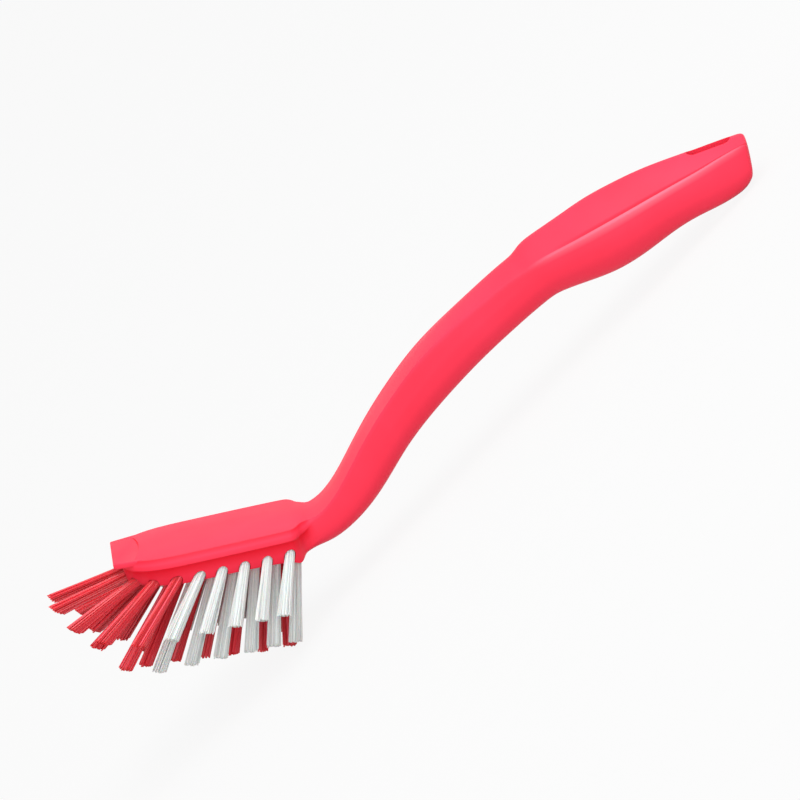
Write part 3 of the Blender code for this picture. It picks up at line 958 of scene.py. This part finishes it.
@dataclass
class Moulding:
    """The one-piece plastic body: head, neck, handle and grip, with all that is cut into it."""

    head: Head = field(default_factory=Head)
    handle: Handle = field(default_factory=Handle)
    lip: Lip = field(default_factory=Lip)
    slot: Slot = field(default_factory=Slot)
    finish: MouldedPlastic = field(default_factory=MouldedPlastic)
    hole_diameter: float = 4.0 * MM
    hole_depth: float = 6.6 * MM
    hole_run_out: float = 8.0 * MM
    hole_sides: int = 28
    ring_radius: float = 1.0 * MM
    levels: int = 3
    sharp_angle: float = 34.0
    head_creases: dict[int, float] = field(
        default_factory=lambda: {5: 0.8, 6: 0.7, 7: 0.9, 8: 0.8, 10: 0.75}
    )
    # Painted shade on the head by row: the plateau's edge, darkest under the ledge, and a lighter
    # wash over the wall and underside.
    head_painted_shade: dict[int, float] = field(
        default_factory=lambda: {5: 0.7, 7: 0.35, 8: 1.0, **dict.fromkeys(range(9, 15), 0.35)}
    )

    def cage(self) -> bpy.types.Object:
        """Extrude a ring from the nose to the hanging end and move its rows to each section.

        Returns:
            The cage, with creases and with shares of painted highlight and painted shade.
        """
        sections = self.head.sections()
        self.head_count = len(sections)
        sections += [self.handle.section(index) for index in range(len(self.handle.spine))]
        rows = len(sections[0])
        start = sections[0][0].x
        bpy.ops.mesh.primitive_circle_add(
            vertices=2 * (rows - 1), radius=self.ring_radius, fill_type="NGON",
            location=(start, 0.0, -self.ring_radius), rotation=(math.pi / 2.0, 0.0, math.pi / 2.0),
        )
        cage = Bench.take("moulding")
        Bench.settle(cage)
        edit = Bench.edit(cage)
        row_of = edit.verts.layers.int.new("row")
        ring_of = edit.verts.layers.int.new("ring")
        for vert in edit.verts:
            angle = math.atan2(abs(vert.co.y), vert.co.z + self.ring_radius)
            vert[row_of] = round(angle / math.pi * (rows - 1))
            vert[ring_of] = 0
        for number, section in enumerate(sections):
            if number:
                edit, row_of, ring_of = self.marked(cage)
                for vert in edit.verts:
                    vert.select = vert[ring_of] == number - 1
                edit.select_flush_mode()
                bpy.ops.mesh.extrude_region_move()
                edit, row_of, ring_of = self.marked(cage)
                for vert in edit.verts:
                    if vert.select:
                        vert[ring_of] = number
            self.shape_ring(cage, number, section)
        self.crease(cage)
        bpy.ops.mesh.select_all(action="SELECT")
        bpy.ops.mesh.normals_make_consistent(inside=False)
        Bench.close()
        # Shares of painted highlight and painted shade for the plastic's colour.
        self.mark(cage, "rubbed", {}, self.handle.rubbed)
        self.mark(cage, "sunk", self.head_painted_shade, self.handle.sunk)
        return cage

    def mark(
        self, cage: bpy.types.Object, name: str,
        on_head: dict[int, float], on_handle: dict[int, Table],
    ) -> None:
        """Write a share from 0 to 1 on each face corner of the cage, by its row and ring.

        Args:
            cage: The object.
            name: Name of the attribute.
            on_head: Shares by row on the head.
            on_handle: Tables of share along the run by row on the handle.
        """
        data = cage.data
        rows = [item.value for item in data.attributes["row"].data]
        rings = [item.value for item in data.attributes["ring"].data]
        shares = []
        for row, ring in zip(rows, rings):
            if ring < self.head_count:
                shares.append(on_head.get(row, 0.0))
            else:
                place = self.handle.spine[ring - self.head_count][0]
                shares.append(read_off(on_handle[row], place) if row in on_handle else 0.0)
        mark = data.attributes.new(name, "FLOAT", "CORNER")
        mark.data.foreach_set("value", [shares[corner.vertex_index] for corner in data.loops])

    @staticmethod
    def marked(
        cage: bpy.types.Object,
    ) -> tuple[bmesh.types.BMesh, bmesh.types.BMLayerItem, bmesh.types.BMLayerItem]:
        """Fetch the cage's edit mesh anew.

        Args:
            cage: The object in edit mode.

        Returns:
            The edit mesh with its layers of row and ring numbers.
        """
        edit = bmesh.from_edit_mesh(cage.data)
        return edit, edit.verts.layers.int["row"], edit.verts.layers.int["ring"]

    @classmethod
    def shape_ring(cls, cage: bpy.types.Object, number: int, section: list[Vector]) -> None:
        """Move each pair of points of one ring to its place in a section.

        Args:
            cage: The object in edit mode.
            number: Number of the ring.
            section: Target points, one for each row.
        """
        for row, target in enumerate(section):
            edit, row_of, ring_of = cls.marked(cage)
            bpy.ops.mesh.select_all(action="DESELECT")
            pair = [vert for vert in edit.verts if (vert[row_of], vert[ring_of]) == (row, number)]
            for vert in pair:
                vert.select = True
            edit.select_flush_mode()
            here = pair[0].co.copy()
            if len(pair) == 2:
                width = target.y / abs(here.y)
                middle = (here.x, 0.0, here.z)
                bpy.ops.transform.resize(value=(1.0, width, 1.0), center_override=middle)
            bpy.ops.transform.translate(value=(target.x - here.x, 0.0, target.z - here.z))

    def crease(self, cage: bpy.types.Object) -> None:
        """Sharpen the plateau's edge, the ledge, the lower edge, the ridge and the bead.

        Args:
            cage: The object in edit mode.
        """
        spine = self.handle.spine
        for number in range(self.head_count + len(spine) - 1):
            values = self.head_creases
            if number >= self.head_count:
                place = spine[number - self.head_count][0]
                creases = self.handle.creases.items()
                values = {row: read_off(table, place) for row, table in creases}
            for row, value in values.items():
                if value == 0.0:
                    continue
                edit, row_of, ring_of = self.marked(cage)
                bpy.ops.mesh.select_all(action="DESELECT")
                for edge in edit.edges:
                    ends = edge.verts
                    same_row = all(vert[row_of] == row for vert in ends)
                    if same_row and sorted(vert[ring_of] for vert in ends) == [number, number + 1]:
                        edge.select = True
                bpy.ops.transform.edge_crease(value=value)

    def hole_cutter(self, places: list[Matrix]) -> bpy.types.Object:
        """Model one hole's cutter and set a copy at each tuft.

        Args:
            places: Turn and shift of each tuft, its own z along the bristles.

        Returns:
            All cutters as one object.
        """
        bpy.ops.mesh.primitive_cylinder_add(
            vertices=self.hole_sides, radius=self.hole_diameter / 2.0,
            depth=self.hole_depth + self.hole_run_out,
            location=(0.0, 0.0, (self.hole_run_out - self.hole_depth) / 2.0),
        )
        drill = Bench.take("tuft_hole")
        Bench.settle(drill)
        return Bench.scatter(drill, places)

    def build(self, places: list[Matrix]) -> bpy.types.Object:
        """Model and dress the moulding.

        Args:
            places: Turn and shift of each tuft.

        Returns:
            The finished piece, laid down.
        """
        body = self.cage()
        Bench.apply(body, "SUBSURF", levels=self.levels, render_levels=self.levels)
        Bench.combine(body, self.lip.plate(self.head), Join.ADD)
        Bench.combine(body, self.lip.disc(self.head), Join.CUT)
        Bench.combine(body, self.slot.cutter(self.handle), Join.CUT)
        Bench.combine(body, self.hole_cutter(places), Join.CUT)
        Bench.settle(body, REST.place())
        Bench.dress(body, self.finish.make(), self.sharp_angle)
        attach(body, BODY)
        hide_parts("moulded_handle_and_head")
        return body


# Tufts


class Tone(Enum):
    """The two colours of bristle."""

    WHITE = "white"
    RED = "red"


FILAMENTS = {
    Tone.WHITE: Filament(
        "white_filament", dark=srgb(204, 205, 203), middle=srgb(221, 222, 220),
        light=srgb(231, 232, 230), cut=srgb(214, 215, 212),
    ),
    Tone.RED: Filament(
        "red_filament", dark=srgb(196, 26, 36), middle=srgb(230, 48, 62),
        light=srgb(250, 92, 110), cut=srgb(214, 20, 30),
    ),
}
TIP_SHARE = 0.9  # Points above this share of a strand's length belong to its cut end.


@dataclass(frozen=True)
class Tuft:
    """One tuft: name, tone, mouth of its hole, trimmed end and the way its anchor runs."""

    name: str
    tone: Tone
    mouth: Vector
    tip: Vector
    row: Vector

    def place(self) -> Matrix:
        """Stand the tuft's own z along its bristles and x along its anchor.

        Returns:
            The turn and shift.
        """
        out = (self.tip - self.mouth).normalized()
        across = out.cross(self.row).normalized()
        turn = Matrix((across.cross(out), across, out)).transposed()
        return Matrix.Translation(self.mouth) @ turn.to_4x4()

    def length(self) -> float:
        """Length of the bristles outside the hole."""
        return (self.tip - self.mouth).length


def both_sides(
    ring: str, tone: Tone, number: int, mouth: Vector, tip: Vector, row: Vector
) -> list[Tuft]:
    """Set the same tuft on the left and on the right of the head.

    Args:
        ring: Name of its ring.
        tone: Its colour.
        number: Its number from the rear.
        mouth: Mouth of its hole on the right.
        tip: Its trimmed end on the right.
        row: Direction of its anchor on the right.

    Returns:
        Two tufts.
    """
    pair = []
    for side, sign in (("left", -1.0), ("right", 1.0)):
        flip = Matrix.Diagonal((1.0, sign, 1.0))
        name = f"{ring}_{tone.value}_tuft_{side}_{number}"
        pair.append(Tuft(name, tone, flip @ mouth, flip @ tip, flip @ row))
    return pair


@dataclass
class Ring:
    """Tufts along both flanks of the head and round its nose, fanning forward more and more."""

    name: str
    count: int
    white_count: int
    side_share: float
    rear: float
    nose_inset: float
    splay: float
    tip_depth: float
    tip_lift: float
    rear_lean: float
    nose_lean: float
    mouth_depth: float | None = None
    mouth_lift: float = 0.0
    on_nose: bool = False
    lean_start: float = 0.1

    def mouth_height(self, head: Head, x: float, y: float, turn: float) -> float:
        """Find the height at which a hole opens: in the side wall, or else on the underside.

        Args:
            head: The head that carries it.
            x: Place along the brush.
            y: Place across it.
            turn: How far round the nose it is, in radians.

        Returns:
            The height, below zero.
        """
        if self.mouth_depth is None:
            return head.underside(x, y)
        return self.mouth_lift * (1.0 - math.cos(turn)) - self.mouth_depth

    def tufts(self, head: Head) -> list[Tuft]:
        """Set out the ring's tufts from the rear forward.

        Args:
            head: The head that carries them.

        Returns:
            The tufts of both sides.
        """
        side = head.plateau_width / 2.0 * self.side_share
        reach = head.nose_length - self.nose_inset
        straight = head.length - head.nose_length - self.rear
        radius = (reach + side) / 2.0
        total = straight + radius * math.pi / 2.0
        pitch = total / (self.count if self.on_nose else self.count - 0.5)
        found = []
        for number in range(self.count + self.on_nose):
            distance = number * pitch
            turn = max(distance - straight, 0.0) / radius
            x = -self.rear - min(distance, straight) - reach * math.sin(turn)
            y = side * math.cos(turn)
            forward = ease((distance / total - self.lean_start) / (1.0 - self.lean_start))
            mouth = Vector((x, y, self.mouth_height(head, x, y, turn)))
            height = self.tip_lift * (1.0 - math.cos(turn)) - self.tip_depth
            lean = blend(self.rear_lean, self.nose_lean, forward)
            tip = Vector((x - lean, y * (side + self.splay) / side, height))
            row = Vector((-reach * math.cos(turn), -side * math.sin(turn), 0.0))
            tone = Tone.WHITE if number < self.white_count else Tone.RED
            if number == self.count:
                found.append(Tuft(f"{self.name}_red_tuft_nose", tone, mouth, tip, row))
            else:
                found += both_sides(self.name, tone, number + 1, mouth, tip, row)
        return found


@dataclass
class InnerRows:
    """Two straight rows of red tufts along the middle of the head."""

    count: int = 6
    side_share: float = 0.2335
    rear: float = 8.8 * MM
    nose_inset: float = 19.2 * MM
    splay: float = 4.4 * MM
    tip_depth: float = 43.0 * MM
    tip_lift: float = 4.0 * MM
    rear_lean: float = 4.8 * MM
    front_lean: float = 18.2 * MM

    def tufts(self, head: Head) -> list[Tuft]:
        """Set out the rows from the rear forward.

        Args:
            head: The head that carries them.

        Returns:
            The tufts of both rows.
        """
        side = head.plateau_width / 2.0 * self.side_share
        found = []
        for number in range(self.count):
            share = number / (self.count - 1)
            x = -blend(self.rear, head.length - self.nose_inset, share)
            mouth = Vector((x, side, head.underside(x, side)))
            lean = blend(self.rear_lean, self.front_lean, share)
            height = self.tip_lift * ease(share) - self.tip_depth
            tip = Vector((x - lean, side + self.splay, height))
            row = Vector((-1.0, 0.0, 0.0))
            found += both_sides("inner", Tone.RED, number + 1, mouth, tip, row)
        return found


OUTER = Ring(
    "outer", count=9, white_count=5, side_share=0.98, rear=7.2 * MM, nose_inset=1.5 * MM,
    splay=13.7 * MM, tip_depth=25.0 * MM, tip_lift=14.0 * MM, rear_lean=6.0 * MM,
    nose_lean=27.0 * MM, mouth_depth=9.0 * MM, mouth_lift=1.5 * MM,
)
MIDDLE = Ring(
    "middle", count=8, white_count=6, side_share=0.634, rear=5.2 * MM, nose_inset=7.5 * MM,
    splay=8.2 * MM, tip_depth=38.5 * MM, tip_lift=20.0 * MM, rear_lean=6.3 * MM,
    nose_lean=24.3 * MM, on_nose=True,
)


@dataclass
class Bundle:
    """Bundle of filaments of unit length, from which every tuft is drawn out."""

    strands: int = 84
    sides: int = 5
    radius: float = 0.27 * MM
    root_radius: float = 1.8 * MM
    tip_radius: float = 2.4 * MM
    root: float = -5.6 * MM
    bends: tuple[float, ...] = (0.35, 0.7)
    anchor_gap: float = 0.55 * MM
    stray: float = 0.16 * MM
    tip_stray: float = 1.6
    jitter: float = 0.15
    uneven: float = 0.018
    spiral: float = math.pi * (3.0 - math.sqrt(5.0))

    def filament(self, number: int, dice: random.Random) -> None:
        """Add one filament to the open bundle: a ring at its root, extruded up to its cut end.

        Args:
            number: Its place in the spiral.
            dice: Source of its small irregularities.
        """
        share = math.sqrt((number + 0.5) / self.strands)
        angle = number * self.spiral + dice.uniform(-self.jitter, self.jitter)
        way = Vector((math.cos(angle), math.sin(angle), 0.0))
        bow = Vector((dice.gauss(0.0, self.stray), dice.gauss(0.0, self.stray), 0.0))
        foot = way * (self.root_radius - self.radius) * share
        beside = math.copysign(max(abs(foot.y), self.anchor_gap), foot.y)
        tip = way * (self.tip_radius - self.radius) * share + self.tip_stray * bow
        stations = [(0.0, foot)]
        for level in self.bends:
            stations.append((level, foot.lerp(tip, level) + bow * level * (1.0 - level)))
        stations.append((1.0 + dice.uniform(-self.uneven, self.uneven), tip))
        before = Vector((foot.x, beside, self.root))
        bpy.ops.mesh.primitive_circle_add(
            vertices=self.sides, radius=self.radius, fill_type="NGON",
            location=before, rotation=(0.0, 0.0, dice.uniform(0.0, math.tau)),
        )
        for level, place in stations:
            here = Vector((place.x, place.y, level))
            bpy.ops.mesh.extrude_region_move(TRANSFORM_OT_translate={"value": here - before})
            before = here

    def build(self, number: int) -> bpy.types.Object:
        """Model one bundle, a metre long so that each tuft sets its own length.

        Args:
            number: Seed of its irregularities.

        Returns:
            The bundle, with a tone and a reach from root to tip on its points.
        """
        dice = random.Random(number)
        bpy.ops.object.select_all(action="DESELECT")
        bpy.ops.mesh.primitive_circle_add(vertices=3, radius=self.radius)
        bundle = Bench.take(f"bundle_{number}")
        Bench.settle(bundle)
        Bench.edit(bundle)
        bpy.ops.mesh.select_all(action="SELECT")
        bpy.ops.mesh.delete(type="VERT")
        for strand in range(self.strands):
            self.filament(strand, dice)
        bpy.ops.mesh.select_all(action="SELECT")
        bpy.ops.mesh.normals_make_consistent(inside=False)
        Bench.close()
        points = bundle.data.vertices
        each = len(points) // self.strands
        tones = [dice.random() for _ in range(self.strands)]
        tone = bundle.data.attributes.new("strand_tone", "FLOAT", "POINT")
        reach = bundle.data.attributes.new("reach", "FLOAT", "POINT")
        heights = [1.0 if point.co.z > TIP_SHARE else max(point.co.z, 0.0) for point in points]
        tone.data.foreach_set("value", [tones[point.index // each] for point in points])
        reach.data.foreach_set("value", heights)
        return bundle


@dataclass
class Bristles:
    """All tufts of the brush."""

    head: Head
    rings: tuple[Ring, ...] = (OUTER, MIDDLE)
    inner: InnerRows = field(default_factory=InnerRows)
    variants: int = 4
    seed: int = 11
    trim_share: float = 0.45
    sharp_angle: float = 50.0

    def tufts(self) -> list[Tuft]:
        """List the outer ring, the middle ring and the inner rows, each from the rear forward."""
        found = [tuft for ring in self.rings for tuft in ring.tufts(self.head)]
        return found + self.inner.tufts(self.head)

    def draw_out(
        self, tuft: Tuft, bundle: bpy.types.Object, dice: random.Random
    ) -> bpy.types.Object:
        """Copy a bundle into a hole, draw it out to its length and slant its trimmed end.

        Args:
            tuft: The tuft.
            bundle: The bundle to copy.
            dice: Source of its turn in the hole.

        Returns:
            The finished tuft, laid down.
        """
        piece = Bench.copy(bundle, f"{tuft.name}_bristles")
        place = tuft.place()
        half_turn = Matrix.Rotation(math.pi * dice.randrange(2), 4, "Z")
        piece.data.transform(half_turn)
        down = place.to_3x3().inverted() @ Vector((0.0, 0.0, -1.0))
        normal = Vector((0.0, 0.0, 1.0)).lerp(down, self.trim_share).normalized()
        length = tuft.length()
        for vert in piece.data.vertices:
            if vert.co.z > 0.0:
                vert.co.z *= length
            if vert.co.z > TIP_SHARE * length:
                vert.co.z -= (vert.co.x * normal.x + vert.co.y * normal.y) / normal.z
        Bench.settle(piece, REST.place() @ place)
        return piece

    def build(self) -> list[bpy.types.Object]:
        """Model and dress every tuft.

        Returns:
            The finished pieces.
        """
        finishes = {tone: filament.make() for tone, filament in FILAMENTS.items()}
        bundles = [Bundle().build(number) for number in range(self.variants)]
        dice = random.Random(self.seed)
        pieces = []
        for tuft in self.tufts():
            piece = self.draw_out(tuft, dice.choice(bundles), dice)
            Bench.dress(piece, finishes[tuft.tone], self.sharp_angle)
            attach(piece, BODY)
            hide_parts(tuft.name)
            log.info("%s: %.1f mm long", piece.name, tuft.length() / MM)
            pieces.append(piece)
        for bundle in bundles:
            bpy.data.objects.remove(bundle, do_unlink=True)
        return pieces


@dataclass
class Anchors:
    """Flat wire anchors, one across each hole, that hold the folded tufts."""

    hole_depth: float
    thickness: float = 0.5 * MM
    height: float = 1.6 * MM
    length: float = 5.0 * MM
    seat: float = 1.6 * MM
    rounding: float = 0.1 * MM
    sharp_angle: float = 30.0
    finish: FlatWire = field(default_factory=FlatWire)

    def build(self, places: list[Matrix]) -> bpy.types.Object:
        """Model one anchor, set a copy in each hole and join them.

        Args:
            places: Turn and shift of each tuft.

        Returns:
            All anchors as one piece, laid down.
        """
        bpy.ops.mesh.primitive_cube_add(
            size=1.0, location=(0.0, 0.0, self.seat + self.height / 2.0 - self.hole_depth),
            scale=(self.length, self.thickness, self.height),
        )
        blank = Bench.take("anchor")
        Bench.settle(blank)
        Bench.edit(blank)
        bpy.ops.mesh.select_all(action="SELECT")
        bpy.ops.mesh.bevel(offset=self.rounding, offset_type="OFFSET", segments=2, profile=0.5)
        Bench.close()
        Bench.scatter(blank, places)
        anchors = Bench.take("tuft_anchors")
        Bench.settle(anchors, REST.place())
        Bench.dress(anchors, self.finish.make(), self.sharp_angle)
        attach(anchors, BODY)
        return anchors


# Stage


@dataclass(frozen=True)
class Lamp:
    """Soft square lamp that faces the brush; its way is given right, up and to the camera."""

    name: str
    way: tuple[float, float, float]
    distance: float
    size: float
    power: float

    def hang(self, axes: Matrix) -> None:
        """Hang the lamp.

        Args:
            axes: Right, up and back of the camera as columns.
        """
        data = bpy.data.lights.new(self.name, "AREA")
        data.energy, data.size = self.power, self.size
        item = bpy.data.objects.new(self.name, data)
        bpy.context.scene.collection.objects.link(item)
        way = axes @ Vector(self.way)
        item.location = way.normalized() * self.distance
        item.rotation_mode = "QUATERNION"
        item.rotation_quaternion = (-way).to_track_quat("-Z", "Y")


@dataclass
class Studio:
    """Floor, light and camera."""

    scale: float = 2936.0
    lens: float = 600.0
    sensor: float = 36.0
    frame_pixels: float = 800.0
    elevation: float = 16.5
    roll: float = 12.5
    centre: tuple[float, float, float] = (40.84 * MM, 0.0, 30.85 * MM)
    clip: tuple[float, float] = (0.05, 60.0)
    floor_size: float = 16.0
    world_light: float = 0.65
    lamps: tuple[Lamp, ...] = (
        Lamp("key_lamp", way=(-0.35, 1.0, 0.55), distance=1.2, size=0.8, power=11.0),
        Lamp("fill_lamp", way=(0.0, -0.1, 1.0), distance=1.6, size=1.0, power=9.5),
    )

    def axes(self) -> Matrix:
        """Find how the camera is turned on the table.

        Returns:
            Its right, up and back as columns.
        """
        rise, roll = math.radians(self.elevation), math.radians(self.roll)
        low, level = math.sin(rise), math.cos(rise)
        right = Vector((math.cos(roll), -math.sin(roll) * low, -math.sin(roll) * level))
        above = Vector((math.sin(roll), math.cos(roll) * low, math.cos(roll) * level))
        return REST.place().to_3x3() @ Matrix((right, above, right.cross(above))).transposed()

    def camera(self) -> bpy.types.Object:
        """Set the camera beside the brush, a little above the plateau, and roll it.

        Returns:
            The camera.
        """
        turn = self.axes()
        distance = self.frame_pixels / self.scale * self.lens / self.sensor
        data = bpy.data.cameras.new("studio_camera")
        data.lens, data.sensor_width = self.lens, self.sensor
        data.clip_start, data.clip_end = self.clip
        camera = bpy.data.objects.new("studio_camera", data)
        bpy.context.scene.collection.objects.link(camera)
        spot = REST.place() @ Vector(self.centre) + turn.col[2] * distance
        camera.matrix_world = Matrix.Translation(spot) @ turn.to_4x4()
        bpy.context.scene.camera = camera
        return camera

    def floor(self) -> bpy.types.Object:
        """Lay the pale floor under the brush.

        Returns:
            The floor.
        """
        bpy.ops.mesh.primitive_plane_add(size=self.floor_size, location=(0.0, 0.0, 0.0))
        floor = Bench.take("floor")
        Bench.settle(floor)
        floor.data.materials.append(PaleFloor().make())
        return floor

    def world(self) -> None:
        """Fill the room with even light, white where the camera looks."""
        world = bpy.data.worlds.new("studio_world")
        bpy.context.scene.world = world
        world.use_nodes = True
        nodes, links = world.node_tree.nodes, world.node_tree.links
        dim, white = nodes["Background"], nodes.new("ShaderNodeBackground")
        for sheet in (dim, white):
            sheet.inputs["Color"].default_value = (*WHITE, 1.0)
        dim.inputs["Strength"].default_value = self.world_light
        both = nodes.new("ShaderNodeMixShader")
        links.new(seen_rays(nodes, links), both.inputs[0])
        links.new(dim.outputs[0], both.inputs[1])
        links.new(white.outputs[0], both.inputs[2])
        links.new(both.outputs[0], nodes["World Output"].inputs["Surface"])

    def build(self) -> None:
        """Set the whole stage."""
        self.camera()
        self.floor()
        self.world()
        for lamp in self.lamps:
            lamp.hang(self.axes())
        bpy.context.scene.view_settings.view_transform = "Standard"


def main() -> None:
    """Build the brush piece by piece, then the stage."""
    logging.basicConfig(level=logging.INFO, format="%(name)s: %(message)s")
    moulding = Moulding()
    bristles = Bristles(moulding.head)
    places = [tuft.place() for tuft in bristles.tufts()]
    body = moulding.build(places)
    log.info("%s: %d faces", body.name, len(body.data.polygons))
    anchors = Anchors(moulding.hole_depth).build(places)
    log.info("%s: %d anchors", anchors.name, len(places))
    tufts = bristles.build()
    log.info("tufts: %d", len(tufts))
    Studio().build()


if __name__ == "__main__":
    main()
